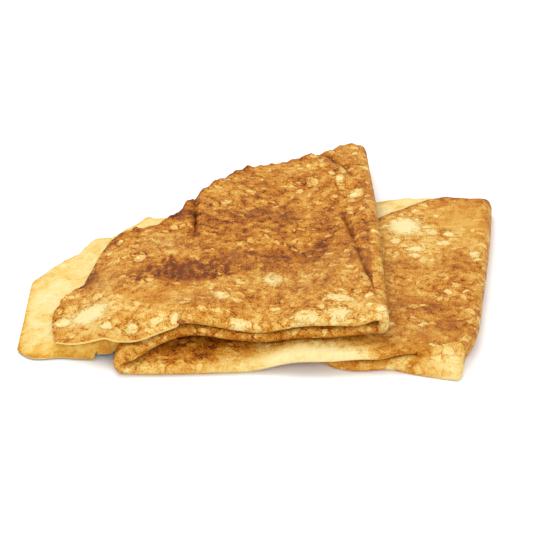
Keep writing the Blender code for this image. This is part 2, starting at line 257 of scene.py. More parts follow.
# Steam blisters: (across, back, half across, half back)
TOP_BLISTERS = (
    (31.2, 67.6, 3.8, 4.6), (16.1, 77.6, 2.6, 3.8), (11.6, 70.8, 1.7, 2.2),
    (26.2, 84.9, 1.6, 3.4), (25.3, 78.6, 1.7, 3.2), (-12.7, 60.2, 2.0, 1.9),
    (-53, -2.4, 6.0, 6.0), (-60.7, -4.7, 3.2, 3.2), (-39.6, -14.0, 2.2, 3.4),
    (-26.6, -12.2, 1.8, 2.6), (-39.3, 24.5, 2.4, 2.6), (-46.2, 36.6, 1.5, 1.6),
    (12, -13.5, 4.6, 3.0), (21.6, -13.0, 4.6, 3.2), (-13.3, -1.2, 3.0, 3.2),
    (2.6, 11.3, 3.4, 4.6), (22, -5, 5.0, 2.4), (-47, -12.5, 2.0, 2.0), (-8, -14, 3.0, 2.0))
LOW_BLISTERS = ((45.6, 54, 5.6, 6.4), (54.5, 49.9, 2.6, 2.2), (59.9, 48.6, 2.2, 2.0),
                (57.8, 42.5, 2.8, 1.7), (42, 43.9, 2.2, 2.2), (47.8, 38.6, 2.8, 2.4),
                (67, 35, 2.2, 2.8), (66, -9, 2.2, 4.5))

# The bead of caramel at the tear: its place in the plan, and its radius and shape
BEAD_PLACE = (-24.9, -14.3, 11.7)
BEAD_RADIUS = 1.0
BEAD_SHAPE = (1.2, 0.8, 0.6)
BEAD_UNEVENNESS = 0.25
BEAD_LUMPS_PER_METRE = 700.0

# The studio, in metres, and the camera
PAPER_SIZE = 6.0
SOFTBOX_SIZE = 0.9
ABOVE = (-0.25, 0.35, 0.9)
IN_FRONT = (0.2, -1.1, 0.6)
LENS_MM = 124.0
SENSOR_MM = 36.0
TARGET = (1.53, 36.66, 0.0)


# Curves and bumps


def rise(value, start, end):
    """Goes from 0 to 1, with level ends, while the value goes from start to end."""
    t = np.clip((value - start) / (end - start), 0.0, 1.0)
    return t * t * (3.0 - 2.0 * t)


def mix(a, b, t):
    """Straight blend from a to b."""
    return a + (b - a) * t


def hump(x, middle, half_width):
    """A smooth bump of height 1."""
    return np.exp(-((x - middle) / half_width) ** 2)


def along(points, at):
    """Smooth curve through the points, read at the given places."""
    xs = np.array([p[0] for p in points], dtype=float)
    ys = np.array([p[1] for p in points], dtype=float)
    slopes = np.gradient(ys, xs)
    at = np.clip(np.asarray(at, dtype=float), xs[0], xs[-1])
    k = np.clip(np.searchsorted(xs, at) - 1, 0, len(xs) - 2)
    width = xs[k + 1] - xs[k]
    t = (at - xs[k]) / width
    start = (1 + 2 * t) * (1 - t) ** 2 * ys[k] + t * (1 - t) ** 2 * width * slopes[k]
    end = t * t * (3 - 2 * t) * ys[k + 1] + t * t * (t - 1) * width * slopes[k + 1]
    return start + end


def ragged(at, size, phase):
    """The uneven outline of the batter's rim."""
    swing = 0.0
    for k, (rate, share) in enumerate(RAGGED_WAVES):
        swing = swing + share * np.sin(rate * at * RAGGED_RATE + phase + 1.9 * k)
    return size * swing


def grain(x, y, size, seed):
    """Uneven relief between about -1 and 1 whose largest lumps are size across."""
    fineness, spacing, octaves = 0.9, 2.1, 3
    x, y = np.broadcast_arrays(np.asarray(x, float), np.asarray(y, float))
    flat = [noise.fractal(Vector((a / size, b / size, seed)), fineness, spacing, octaves)
            for a, b in zip(x.ravel(), y.ravel())]
    return np.array(flat).reshape(x.shape)


def distance_to_line(x, y, points):
    """How far (x, y) lies from a bent line, and on which side of it, plus to its right."""
    best = np.full(np.shape(x), 1e9)
    side = np.zeros(np.shape(x))
    for (ax, ay), (bx, by) in zip(points, points[1:]):
        dx, dy = bx - ax, by - ay
        t = np.clip(((x - ax) * dx + (y - ay) * dy) / (dx * dx + dy * dy), 0.0, 1.0)
        px, py = x - ax - t * dx, y - ay - t * dy
        far = np.hypot(px, py)
        turn = np.sign(px * dy - py * dx)
        side = np.where(far < best, turn, side)
        best = np.minimum(best, far)
    return best, side


# Heights of the middle of the band, run by run


def tuck_edge(y):
    """The slanting inner edge of the tucked run."""
    return TUCK_EDGE_X + TUCK_EDGE_SLANT * (y - FRONT_Y)


def tuck_height(x):
    """The tucked run lies flat."""
    return np.full_like(x, 0.5 * BAND)


def low_height(x, y):
    """The lower part climbs on to the tucked run and bows up a little at the left."""
    over_tuck = rise(x - tuck_edge(y), -21.0, -1.5)
    dome = DOME * rise(y, -24.0, -10.0) * rise(x, 10.0, -15.0) * rise(x, -42.0, -34.0)
    return 0.5 * BAND + RUN_STEP * over_tuck + dome * (1.0 - over_tuck)


def return_height(x, y):
    """The run within arches up behind the open V, and sinks behind the lower part."""
    arch = ARCH * hump(x, -19.0, 11.0) * rise(y, 22.0, -8.0)
    sink = OVERHANG_SINK * rise(y - along(LOW_BACK_LOWER, x), 2.0, 34.0)
    return low_height(x, y) + RUN_STEP + arch - sink


def top_height(x, y):
    """The top run undulates, and its open end slopes down to the floor at the left."""
    wave = WAVE * (1.0 + np.sin(x / 8.0 + y / 17.0)) * rise(x, 30.0, 18.0)
    opening = 2.0 * TOP_TURN_OPENING * hump(x, SLOT_X, 4.0)
    opening = opening + SLOT_RISE * hump(x, SLOT_X, 3.5) * rise(y, -4.0, -12.0)
    over = return_height(x, y) + RUN_STEP + wave + opening
    lip = FLAP_LIP * hump(y, -13.0, 8.0) * rise(x, -75.0, -69.0)
    on_floor = 0.5 * BAND + FLAP_RISE * rise(x, -76.0, -60.0) + lip
    return mix(on_floor, over, rise(x, -60.0, -42.0))


# The two layers of the band: side is +1 for the sheet of the top flap and -1 for the other


def rows_between(front, back, side):
    """Places from the front edge to the rim, closer together at both ends."""
    count = BROWN_ROWS if side > 0 else PALE_ROWS
    t = np.linspace(0.0, 1.0, count)
    t = mix(t, 0.5 - 0.5 * np.cos(np.pi * t), CROWDING)
    return front + (back - front) * t


def lean(y):
    """How far the right-hand turn of the upper runs slants inwards towards the back."""
    return TOP_TURN_LEAN * rise(y, 60.0, 120.0)


def turn_layer(centre_x, upper, lower, reach, rise_by, angle, y, way, boxy=1.0):
    """A half turn of one layer: way is +1 to the right and -1 to the left.

    The turn is round where boxy is 1, and squarer below that.
    """
    x = centre_x + way * reach * np.sin(angle) ** boxy
    level = np.sign(np.cos(angle)) * np.abs(np.cos(angle)) ** boxy
    z = 0.5 * (upper + lower) + rise_by * level
    return np.stack((x + 0.0 * y, y, z + 0.0 * y), axis=1)


def top_layer(f, side):
    """The top run, at the fraction f from the open rims to the right-hand turn."""
    stops = (0.0, TORN_COLUMNS / TOP_COLUMNS, NOTCH_COLUMNS / TOP_COLUMNS, 1.0)
    x = float(np.interp(f, stops, (LOWER_RIM_X, TORN_END_X, NOTCH_X, TOP_TURN_CENTRE)))
    torn = f < (NOTCH_COLUMNS - 0.5) / TOP_COLUMNS
    beyond_torn_end = f < (TORN_COLUMNS + 0.5) / TOP_COLUMNS
    if side > 0:
        if torn:
            x = NOTCH_X + (x - NOTCH_X) * (UPPER_RIM_X - NOTCH_X) / (LOWER_RIM_X - NOTCH_X)
        front = along(UPPER_FRONT, x)
        back = along(UPPER_BACK, x) + ragged(x, RAGGED_RIM, 0.4)
    else:
        front = along(LOWER_FRONT, x)
        back = along(LOWER_BACK, x) + ragged(x, RAGGED_RIM, 2.0)
    if not torn:
        front = along(ROLL_FRONT, x) + ROLL_REACH
    y = rows_between(front, back, side)
    x = x - lean(y) * rise(x, 0.0, TOP_TURN_CENTRE)
    if torn and side > 0:
        x = x - RIM_BOW * hump(y, -1.0, 9.0) * rise(x, -50.0, -62.0)
    z = top_height(x, y) + side * HALF_BAND
    if torn and side > 0:
        sag = rise(y, -8.0, -14.0) * rise(x, -48.0, -43.0) * rise(x, -24.0, -26.5)
        z = z - TORN_EDGE_SAG * sag
    if torn and side < 0:
        curl = 1.0 if beyond_torn_end else rise(x, -41.0, -46.0)
        edge = mix(z, 0.5 * SHEET + (0.0 if beyond_torn_end else CURLED_EDGE_RISE), curl)
        z = mix(edge, z, rise(y - front, 0.0, 3.0))
    return np.stack((x, y, z), axis=1)


def top_turn(f, side):
    """The turn at the right of the two upper runs."""
    angle = np.pi * f
    rim = UPPER_BACK if side > 0 else LOWER_BACK
    bow = UPPER_TURN_BOW if side > 0 else LOWER_TURN_BOW
    late = rise(f, 0.5, 1.0) if side > 0 else f
    back = mix(along(rim, TOP_TURN_CENTRE), along(RETURN_BACK, TOP_TURN_CENTRE), late)
    at_top = along(ROLL_FRONT, TOP_TURN_CENTRE)
    front = mix(at_top, along(RETURN_FRONT, TOP_TURN_CENTRE), f) + ROLL_REACH
    y = rows_between(front, back - side * bow * np.sin(angle), side)
    centre = TOP_TURN_CENTRE - lean(y)
    upper = top_height(centre, y)
    lower = return_height(centre, y)
    rise_by = 0.5 * (upper - lower) + side * HALF_BAND
    reach = 0.5 * RUN_STEP + TOP_TURN_OPENING + side * HALF_BAND
    return turn_layer(centre, upper, lower, reach, rise_by, angle, y, 1, BOXY)


def left_centre(y):
    """The axis that the band turns about in the open V."""
    at_edge = LEFT_TURN_X + LEFT_TURN_SLANT * (y - LEFT_TURN_Y)
    return at_edge + ROLL_REACH + 0.5 * RUN_STEP


def return_layer(f, side):
    """The run below the top one, from the right-hand turn to the left-hand one."""
    front = along(RETURN_FRONT, mix(TOP_TURN_CENTRE, left_centre(FRONT_Y), f)) + ROLL_REACH
    back = along(RETURN_BACK, mix(TOP_TURN_CENTRE, left_centre(BACK_Y), f))
    y = rows_between(front, back, side)
    x = mix(TOP_TURN_CENTRE - lean(y), left_centre(y), f)
    z = return_height(x, y) - side * HALF_BAND
    return np.stack((x, y, z), axis=1)


def left_turn(f, side):
    """The open V at the left."""
    angle = np.pi * f
    front = along(RETURN_FRONT, left_centre(FRONT_Y)) + ROLL_REACH
    back = along(RETURN_BACK, left_centre(BACK_Y))
    y = rows_between(front, back, side)
    x = left_centre(y)
    upper = return_height(x, y)
    lower = low_height(x, y)
    rise_by = 0.5 * (upper - lower) - side * HALF_BAND
    reach = 0.5 * RUN_STEP - side * HALF_BAND
    return turn_layer(x, upper, lower, reach, rise_by, angle, y, -1)


def outer_end(y):
    """Where the upper sheet of the lower part starts to turn down at the right."""
    return along(RIGHT_EDGE, y) - ROLL_REACH - 0.5 * RUN_STEP


def inner_end(y):
    """The same for the sheet within, which turns early at the front corner."""
    return mix(CORNER_X, outer_end(y), rise(y, -14.0, 12.0))


def squeezed(x, y):
    """The place within of a point of the outer sheet."""
    share = np.maximum(x - SQUEEZE_FROM_X, 0.0) / (outer_end(y) - SQUEEZE_FROM_X)
    return np.minimum(x, SQUEEZE_FROM_X) + share * (inner_end(y) - SQUEEZE_FROM_X)


def corner_lift(x, y, side):
    """How much higher the sheet within lies where the open corner closes at the front."""
    return CORNER_LIFT * (side < 0) * rise(x, 32.0, 43.0) * rise(y, -10.0, -19.0)


def low_layer(f, side):
    """The lower part, from the left-hand turn to the right-hand edge."""
    x_front = mix(left_centre(FRONT_Y), outer_end(FRONT_Y), f)
    x_back = mix(left_centre(BACK_Y), outer_end(TUCK_BACK_Y), f)
    if side > 0:
        on_crease = rise(x_front, 33.0, 37.0)
        front = mix(along(LOW_FRONT, x_front) + ROLL_REACH, along(CREASE, x_front), on_crease)
        back = along(LOW_BACK_UPPER, x_back) + ragged(x_back, RAGGED_LOW_RIM, 1.0)
    else:
        front = along(LOW_FRONT, squeezed(x_front, FRONT_Y)) + ROLL_REACH
        back = along(LOW_BACK_LOWER, x_back) + ragged(x_back, RAGGED_LOW_RIM, 3.0)
    y = rows_between(front, back, side)
    x = mix(left_centre(y), outer_end(y), f)
    if side < 0:
        x = squeezed(x, y)
    z = low_height(x, y) + side * HALF_BAND + corner_lift(x, y, side)
    return np.stack((x, y, z), axis=1)


def right_turn(f, side):
    """The turn along the right-hand edge, wide open at the front corner."""
    angle = np.pi * f
    if side > 0:
        at_floor = along(TUCK_FRONT, CORNER_BOTTOM_X) + 0.5 * SHEET
        front = mix(along(CREASE, CORNER_TOP_X), at_floor, f)
        y = rows_between(front, mix(along(LOW_BACK_UPPER, RIGHT_BACK_X), TUCK_BACK_Y, f), side)
        x = outer_end(y) - CORNER_PINCH * rise(y, -12.0, -20.0) * hump(f, 0.5, 0.25)
    else:
        back = mix(along(LOW_BACK_LOWER, RIGHT_BACK_X), TUCK_BACK_Y, f)
        y = rows_between(CORNER_INNER_Y + ROLL_REACH, back, side)
        x = inner_end(y)
    upper = low_height(outer_end(y), y)
    lower = tuck_height(x)
    rise_by = 0.5 * (upper - lower) + side * HALF_BAND
    lift = corner_lift(x, y, side)
    reach = 0.5 * RUN_STEP + side * HALF_BAND
    return turn_layer(x, upper + lift, lower + lift, reach, rise_by, angle, y, 1)


def tuck_layer(f, side):
    """The run tucked under, which narrows to a point at the back."""
    x_front = mix(outer_end(TUCK_CORNER_Y), tuck_edge(TUCK_POINT_Y), f)
    if side > 0:
        inset = mix(ROLL_REACH, 0.5 * SHEET, rise(x_front, 28.0, 36.0))
        front = along(TUCK_FRONT, x_front) + inset
    else:
        front = along(TUCK_INNER_FRONT, squeezed(x_front, FRONT_Y)) + ROLL_REACH
    y = rows_between(front, TUCK_BACK_Y, side)
    x = mix(outer_end(y), tuck_edge(y), f)
    if side < 0:
        x = squeezed(x, y)
    z = tuck_height(x) - side * HALF_BAND + corner_lift(x, y, side)
    return np.stack((x, y, z), axis=1)


def roll_between(lower_edge, upper_edge):
    """The front roll: a half ellipse from one layer's front edge to the other's."""
    middle = 0.5 * (upper_edge + lower_edge)
    half = 0.5 * (upper_edge - lower_edge)
    length = np.linalg.norm(half)
    across = half / length
    gape = rise(length - HALF_BAND, 0.0, FULL_GAPE)
    outward = mix(FORWARD, UP_AND_FORWARD, gape)
    bulge = outward - (outward @ across) * across
    bulge = bulge * HALF_BAND / np.linalg.norm(bulge)
    rows = []
    for k in range(1, ROLL_ROWS):
        s = k / ROLL_ROWS
        angle = np.pi * (1.0 - s)
        way = mix(np.cos(angle), 2.0 * s - 1.0, gape)
        out = mix(np.sin(angle), 1.2 * (1.0 - s) * rise(s, 0.0, 0.2), gape)
        rows.append(middle + half * way + bulge * out)
    return np.array(rows)


RUNS = ((top_layer, TOP_COLUMNS), (top_turn, TURN_COLUMNS), (return_layer, RETURN_COLUMNS),
        (left_turn, TURN_COLUMNS), (low_layer, LOW_COLUMNS), (right_turn, TURN_COLUMNS),
        (tuck_layer, TUCK_COLUMNS))


def folded_grid():
    """The middle of the sheet and the number of the run of each column."""
    columns, run_of = [], []
    for number, (layer, count) in enumerate(RUNS):
        last = count + 1 if layer is tuck_layer else count
        for k in range(last):
            lower = layer(k / count, -1)
            upper = layer(k / count, 1)
            roll = roll_between(lower[0], upper[0])
            columns.append(np.concatenate((lower[::-1], roll, upper)))
            run_of.append(number)
    return np.array(columns), np.array(run_of)


# What the solid leaves out: frills, creases and the unevenness of a soft sheet


def top_relief(x, y, rim_gap):
    """Height added to the upper sheet of the top run; rim_gap is the way to its rim."""
    lift = 0.35 * (1.0 + grain(x, y, 16.0, 1.0)) + 0.14 * grain(x, y, 4.0, 5.0)
    near, side = distance_to_line(x, y, LONG_GROOVE)
    fade = rise(y, 60.0, 46.0)
    lift -= 1.2 * fade * hump(near, 0.0, 1.0)
    lift += 0.8 * fade * hump(near, 3.0, 2.4) * (side > 0)
    near, side = distance_to_line(x, y, CORNER_CREASE)
    lift -= 0.9 * hump(near, 0.0, 1.3)
    lift += 0.9 * hump(near, 5.0, 4.0) * (side > 0)
    near = distance_to_line(x, y, PLEAT)[0]
    depth = rise(y, 32.0, 48.0)
    lift -= 1.1 * depth * hump(near, 0.0, 0.8)
    lift += 1.0 * depth * hump(near, 2.2, 2.0)
    for cx, cy, radius, height in CURLS:
        lift += height * np.exp(-((x - cx) ** 2 + (y - cy) ** 2) / radius ** 2)
    frill = np.exp(-rim_gap / 2.6)
    lift += 0.8 * frill * grain(x, y, 2.4, 9.0)
    return lift


def relieve_top(grid, top):
    """Puts the relief on the upper sheet of the top run, and frays its rim."""
    x, y = grid[top, FIRST_BROWN_ROW:, 0], grid[top, FIRST_BROWN_ROW:, 1]
    rim = np.hypot(x - x[:, -1:], y - y[:, -1:])
    rim = np.minimum(rim, np.maximum(x - UPPER_RIM_X, 0.0))
    grid[top, FIRST_BROWN_ROW:, 2] += top_relief(x, y, rim) * rise(y, -12.75, -9.75)
    frilled = 1.0 + 0.8 * hump(x[:, -1], -20.0, 14.0)
    wander = 0.8 * frilled * grain(x[:, -1], y[:, -1], 1.9, 3.0)
    grid[top, FIRST_BROWN_ROW:, 1] += wander[:, None] * np.exp(-rim / 2.5)


def relieve_tuck(grid, outer):
    """Puts a ridge and a valley on the roll and the free part of the tucked run."""
    x, y, z = (grid[outer, PALE_ROWS:, k] for k in range(3))
    free = rise(z, 0.9, 1.9) * rise(np.arange(x.shape[1]), -1.0, 3.0)
    ridge = free * hump(distance_to_line(x, y, TUCK_RIDGE)[0], 0.0, 1.6)
    valley = free * hump(distance_to_line(x, y, TUCK_VALLEY)[0], 0.0, 1.8)
    grid[outer, PALE_ROWS:, 1] += 0.9 * valley - 0.9 * ridge
    grid[outer, PALE_ROWS:, 2] += 0.7 * ridge - 0.5 * valley


def relieve_flap(grid, top):
    """Frays the rim of the pale flap and makes it uneven."""
    x, y = grid[top, :LAST_PALE_ROW, 0], grid[top, :LAST_PALE_ROW, 1]
    rim = np.hypot(x - x[:, :1], y - y[:, :1])
    wander = 0.9 * grain(x[:, 0], y[:, 0], 2.6, 12.0) * rise(x[:, 0], -15.0, -25.0)
    lift = 0.25 * (1.0 + grain(x, y, 7.0, 14.0)) * rise(x, -50.0, -60.0) * rise(rim, 0.0, 6.0)
    grid[top, :LAST_PALE_ROW, 1] += wander[:, None] * np.exp(-rim / 3.0)
    grid[top, :LAST_PALE_ROW, 2] += lift


# The sheet as the griddle left it


def painted(x, y, patches):
    """Sum of soft round patches."""
    field = np.zeros(np.shape(x))
    for cx, cy, rx, ry, amount in patches:
        field += amount * np.exp(-((x - cx) / rx) ** 2 - ((y - cy) / ry) ** 2)
    return field


def blisters(x, y, spots):
    """A cone over each blister: 1 at its middle and 0 at its edge."""
    field = np.full(np.shape(x), -1.0)
    for cx, cy, rx, ry in spots:
        field = np.maximum(field, 1.0 - np.hypot((x - cx) / rx, (y - cy) / ry))
    return field


def paint(grid, run_of):
    """How browned, blistered, caramel-stained and even each point of the sheet is, with painted
    shade and painted light added to the browning.
    """
    x, y = grid[..., 0], grid[..., 1]
    top = (run_of == TOP_RUN)[:, None]
    low = (run_of >= LOW_RUN)[:, None]
    outer = (run_of >= OUTER_RUN)[:, None]
    tables = {"bake_and_painted_light": (TOP_BAKE, LOW_BAKE_AND_PAINTED_LIGHT), "caramel": (TOP_CARAMEL, LOW_CARAMEL),
              "drip": (TOP_DRIP, LOW_DRIP), "even": (TOP_EVEN, LOW_EVEN)}
    looks = {name: top * painted(x, y, on_top) + low * painted(x, y, on_low)
             for name, (on_top, on_low) in tables.items()}
    field = np.where(top, blisters(x, y, TOP_BLISTERS), -1.0)
    looks["blister"] = np.where(low, blisters(x, y, LOW_BLISTERS), field)

    bake_and_painted_light = np.where(outer, painted(x, y, TUCK_BAKE), looks["bake_and_painted_light"])
    bake_and_painted_light = np.where((run_of == TOP_TURN_RUN)[:, None], -0.3 * hump(y, -15.0, 4.0), bake_and_painted_light)
    # Painted shade darkens the tucked run's valley and the groove, corner crease and pleat of the
    # top run, and a painted highlight lightens the tucked run's ridge
    painted_shade_and_highlight_lines = ((TUCK_VALLEY, 1.6, 0.22, outer), (TUCK_RIDGE, 1.2, -0.3, outer),
             (LONG_GROOVE, 1.0, 0.3, top), (CORNER_CREASE, 1.2, 0.25, top),
             (PLEAT, 1.6, 0.25, top))
    for line, width, amount, where in painted_shade_and_highlight_lines:
        bake_and_painted_light += where * amount * hump(distance_to_line(x, y, line)[0], 0.0, width)
    rim = np.hypot(x - x[:, -1:], y - y[:, -1:])
    rim = np.where(top, np.minimum(rim, np.maximum(x - UPPER_RIM_X, 0.0)), rim)
    bake_and_painted_light += (0.2 + 0.3 * top * hump(x, -20.0, 12.0)) * np.exp(-rim / 1.8)

    # The runnels stray from their lines and break up
    stray = x + 1.3 * grain(x, y, 4.0, 20.0)
    broken = np.clip(0.36 + 0.4 * grain(x, y, 3.0, 21.0), 0.0, 0.6)
    for line in RUNNELS:
        bake_and_painted_light += top * broken * hump(distance_to_line(stray, y, line)[0], 0.0, 0.65)

    # The pale layer is darkened only along its torn front, with painted shade on its front face
    # under the top flap, and browned at its rims
    x, y = x[:, :PALE_ROWS], y[:, :PALE_ROWS]
    torn_front = np.arange(len(grid))[:, None] < NOTCH_COLUMNS
    rim = np.hypot(x - x[:, :1], y - y[:, :1])
    rim = np.minimum(rim, np.maximum(x - LOWER_RIM_X, 0.0))
    bake_and_painted_light[:, :PALE_ROWS] = torn_front * 0.95 * np.exp(-(y - y[:, -1:]) / 3.0)
    bake_and_painted_light[:, :PALE_ROWS] += 0.55 * np.exp(-rim / 1.0)
    looks["bake_and_painted_light"] = bake_and_painted_light
    return looks


# Nodes and colours


def srgb(code):
    """Linear colour of an sRGB hex code."""
    channels = [int(code[k:k + 2], 16) / 255.0 for k in (1, 3, 5)]
    linear = [c / 12.92 if c <= 0.04045 else ((c + 0.055) / 1.055) ** 2.4 for c in channels]
    return (*linear, 1.0)


def add_node(tree, kind, inputs=None, **settings):
    """Adds a node with its settings; an input is a value, or the socket it is linked from."""
    node = tree.nodes.new(kind)
    for name, value in settings.items():
        setattr(node, name, value)
    for key, value in (inputs or {}).items():
        if isinstance(value, bpy.types.NodeSocket):
            tree.links.new(value, node.inputs[key])
        else:
            node.inputs[key].default_value = value
    return node


def set_ramp(node, stops):
    """Fills a colour ramp with (place, hex colour) stops."""
    ramp = node.color_ramp
    while len(ramp.elements) > 1:
        ramp.elements.remove(ramp.elements[-1])
    ramp.elements[0].position = stops[0][0]
    ramp.elements[0].color = srgb(stops[0][1])
    for place, code in stops[1:]:
        ramp.elements.new(place).color = srgb(code)


def new_material(name):
    """A material with its node tree and Principled shader."""
    material = bpy.data.materials.new(name)
    material.use_nodes = True
    return material, material.node_tree, material.node_tree.nodes["Principled BSDF"]


def in_millimetres(tree, stretch=1.0):
    """The point's place in millimetres; a stretch over 1 draws patterns out sideways."""
    where = add_node(tree, "ShaderNodeTexCoord").outputs["Object"]
    scale = (1.0 / MM / stretch, 1.0 / MM, 1.0 / MM)
    return add_node(tree, "ShaderNodeVectorMath", {0: where, 1: scale},
                    operation="MULTIPLY").outputs[0]


def weighted(tree, start, *parts):
    """Start plus each (value, weight) product; a weight is a number or a socket."""
    for value, weight in parts:
        start = add_node(tree, "ShaderNodeMath", {0: value, 1: weight, 2: start},
                         operation="MULTIPLY_ADD").outputs[0]
    return start


def set_soft_body(shader):
    """Thin cooked batter lets a little light through and has a weak sheen."""
    shader.inputs["IOR"].default_value = 1.45
    shader.inputs["Specular IOR Level"].default_value = 0.12
    shader.inputs["Subsurface Weight"].default_value = 0.12
    shader.inputs["Subsurface Radius"].default_value = (0.0016, 0.0009, 0.0004)
    shader.inputs["Subsurface Scale"].default_value = 1.0


def griddled_batter():
    """Griddled wheat batter, first side down: golden brown lace round pale steam blisters.

    Butter leaves it satin, and the blisters stand up a little.
    """
    material, tree, shader = new_material("griddled batter")
    place = in_millimetres(tree)

    # The pattern strays by about a millimetre over 2.5 mm, as batter spreads unevenly
    drift = add_node(tree, "ShaderNodeTexNoise", {"Vector": place, "Scale": 0.4, "Detail": 3.0})
    drift = add_node(tree, "ShaderNodeVectorMath",
                     {0: drift.outputs["Color"], 1: (0.5, 0.5, 0.5)}, operation="SUBTRACT")
    drift = add_node(tree, "ShaderNodeVectorMath", {0: drift.outputs[0], "Scale": 2.2},
                     operation="SCALE")
    spread = add_node(tree, "ShaderNodeVectorMath", {0: place, 1: drift.outputs[0]},
                      operation="ADD").outputs[0]

    # Lumps per millimetre: broad heat 9 mm, mottling 2.4 mm, flecks 0.9 mm, a speckle of
    # 0.4 mm, which is as fine as the render shows, and patches of small blisters 5 mm across
    fields = []
    for vector, scale, detail, roughness in ((place, 0.11, 3.0, 0.55), (spread, 0.42, 4.0, 0.62),
                                             (spread, 1.15, 3.0, 0.6), (place, 2.4, 2.0, 0.6),
                                             (spread, 0.2, 3.0, 0.55)):
        field = add_node(tree, "ShaderNodeTexNoise",
                         {"Vector": vector, "Scale": scale, "Detail": detail,
                          "Roughness": roughness})
        fields.append(add_node(tree, "ShaderNodeMath", {0: field.outputs["Fac"], 1: 0.5},
                               operation="SUBTRACT").outputs[0])
    broad, mottle, fleck, speckle, patch = fields

    # Bubbles in the batter leave cells 2.8 mm across, with finer ones of 1 mm between them
    cracks, fine_cracks = (
        add_node(tree, "ShaderNodeTexVoronoi", {"Vector": spread, "Scale": scale},
                 feature="DISTANCE_TO_EDGE").outputs["Distance"] for scale in (0.36, 0.95))
    cell = add_node(tree, "ShaderNodeTexVoronoi", {"Vector": spread, "Scale": 0.36})
    cell = add_node(tree, "ShaderNodeSeparateColor", {"Color": cell.outputs["Color"]}).outputs[0]
    cuts = []
    for value, low, high in ((cracks, 0.16, 0.0), (mottle, -0.05, 0.1), (cracks, 0.02, 0.24),
                             (cell, 0.5, 0.95), (patch, -0.14, 0.03), (fine_cracks, 0.16, 0.0),
                             (patch, -0.1, 0.06), (fleck, 0.05, 0.12), (fleck, -0.06, -0.14)):
        cuts.append(add_node(tree, "ShaderNodeMapRange",
                             {"Value": value, "From Min": low, "From Max": high},
                             interpolation_type="SMOOTHSTEP").outputs[0])
    on_crack, laced, in_cell, chosen, celled, on_fine_crack, fine_laced = cuts[:7]
    pale_fleck, brown_fleck = cuts[7:]
    lace = weighted(tree, 0.0, (on_crack, laced))
    pale_cell = weighted(tree, 0.0, (weighted(tree, 0.0, (in_cell, chosen)), celled))
    fine_lace = weighted(tree, 0.0, (on_fine_crack, fine_laced))

    # How far the crust is browned: the pattern, less where it is even, on what is painted,
    # which also holds painted shade in creases and hollows and painted light on a ridge and a
    # roll front
    looks = {}
    for name in ("bake_and_painted_light", "blister", "caramel", "drip", "even"):
        looks[name] = add_node(tree, "ShaderNodeAttribute", attribute_name=name).outputs["Fac"]
    level = weighted(tree, 0.0, (broad, 0.8), (mottle, 0.75), (fleck, 0.8), (speckle, 1.0),
                     (lace, 0.18), (pale_cell, -0.34), (fine_lace, 0.11), (pale_fleck, -0.18),
                     (brown_fleck, 0.12))
    unevenness = add_node(tree, "ShaderNodeMath", {0: 1.0, 1: looks["even"]},
                          operation="SUBTRACT", use_clamp=True).outputs[0]
    level = weighted(tree, 0.56, (level, unevenness), (looks["bake_and_painted_light"], 1.0))

    # Blisters, painted and strewn, are pale within and ringed with brown
    field = weighted(tree, looks["blister"], (mottle, 1.6), (fleck, 1.5), (speckle, 0.6))
    strewn = weighted(tree, -0.95, (patch, 5.0), (fleck, 1.2))
    field = add_node(tree, "ShaderNodeMath", {0: field, 1: strewn},
                     operation="MAXIMUM").outputs[0]
    inside, ring = (
        add_node(tree, "ShaderNodeMapRange", {"Value": field, "From Min": low, "From Max": high},
                 interpolation_type="SMOOTHSTEP").outputs[0]
        for low, high in ((0.0, 0.3), (-0.3, 0.0)))
    level = weighted(tree, level, (ring, 0.16), (inside, -0.48))
    colour = add_node(tree, "ShaderNodeValToRGB", {"Fac": level})
    set_ramp(colour, ((0.0, "#E6D49A"), (0.2, "#DFC47A"), (0.36, "#D6AA56"), (0.52, "#C68B30"),
                      (0.68, "#B36B16"), (0.84, "#96500C"), (1.0, "#5C2909")))

    # Caramel soaks through as a dull stain, and as darker runnels 1.7 mm wide and 8 mm long
    soaked = weighted(tree, 0.4, (mottle, 2.2), (speckle, 1.5))
    soaked = add_node(tree, "ShaderNodeMath", {0: soaked, 1: looks["caramel"]},
                      operation="MULTIPLY", use_clamp=True).outputs[0]
    stained = add_node(tree, "ShaderNodeMix",
                       {0: soaked, 6: colour.outputs["Color"], 7: srgb("#9A622E")},
                       data_type="RGBA").outputs[2]
    runnels = add_node(tree, "ShaderNodeVectorMath", {0: spread, 1: (0.85, 0.17, 0.5)},
                       operation="MULTIPLY").outputs[0]
    runnels = add_node(tree, "ShaderNodeTexNoise",
                       {"Vector": runnels, "Scale": 0.7, "Detail": 3.0, "Distortion": 1.0})
    runnels = add_node(tree, "ShaderNodeMapRange",
                       {"Value": runnels.outputs["Fac"], "From Min": 0.53, "From Max": 0.6},
                       interpolation_type="SMOOTHSTEP").outputs[0]
    thick = add_node(tree, "ShaderNodeMath",
                     {0: looks["drip"], 1: weighted(tree, 0.8, (fleck, 2.0))},
                     operation="MULTIPLY", use_clamp=True).outputs[0]
    dark = weighted(tree, 0.0, (runnels, thick))
    stained = add_node(tree, "ShaderNodeMix", {0: dark, 6: stained, 7: srgb("#742C06")},
                       data_type="RGBA").outputs[2]
    tree.links.new(stained, shader.inputs["Base Color"])

    gloss = add_node(tree, "ShaderNodeMapRange",
                     {"Value": speckle, "From Min": -0.2, "From Max": 0.2, "To Min": 0.4,
                      "To Max": 0.6})
    tree.links.new(gloss.outputs[0], shader.inputs["Roughness"])
    height = weighted(tree, fleck, (mottle, 0.9), (speckle, 0.5), (inside, 0.3), (lace, -0.15))
    relief = add_node(tree, "ShaderNodeBump",
                      {"Height": height, "Strength": 0.7, "Distance": 0.6 * MM})
    tree.links.new(relief.outputs[0], shader.inputs["Normal"])
    set_soft_body(shader)
    return material


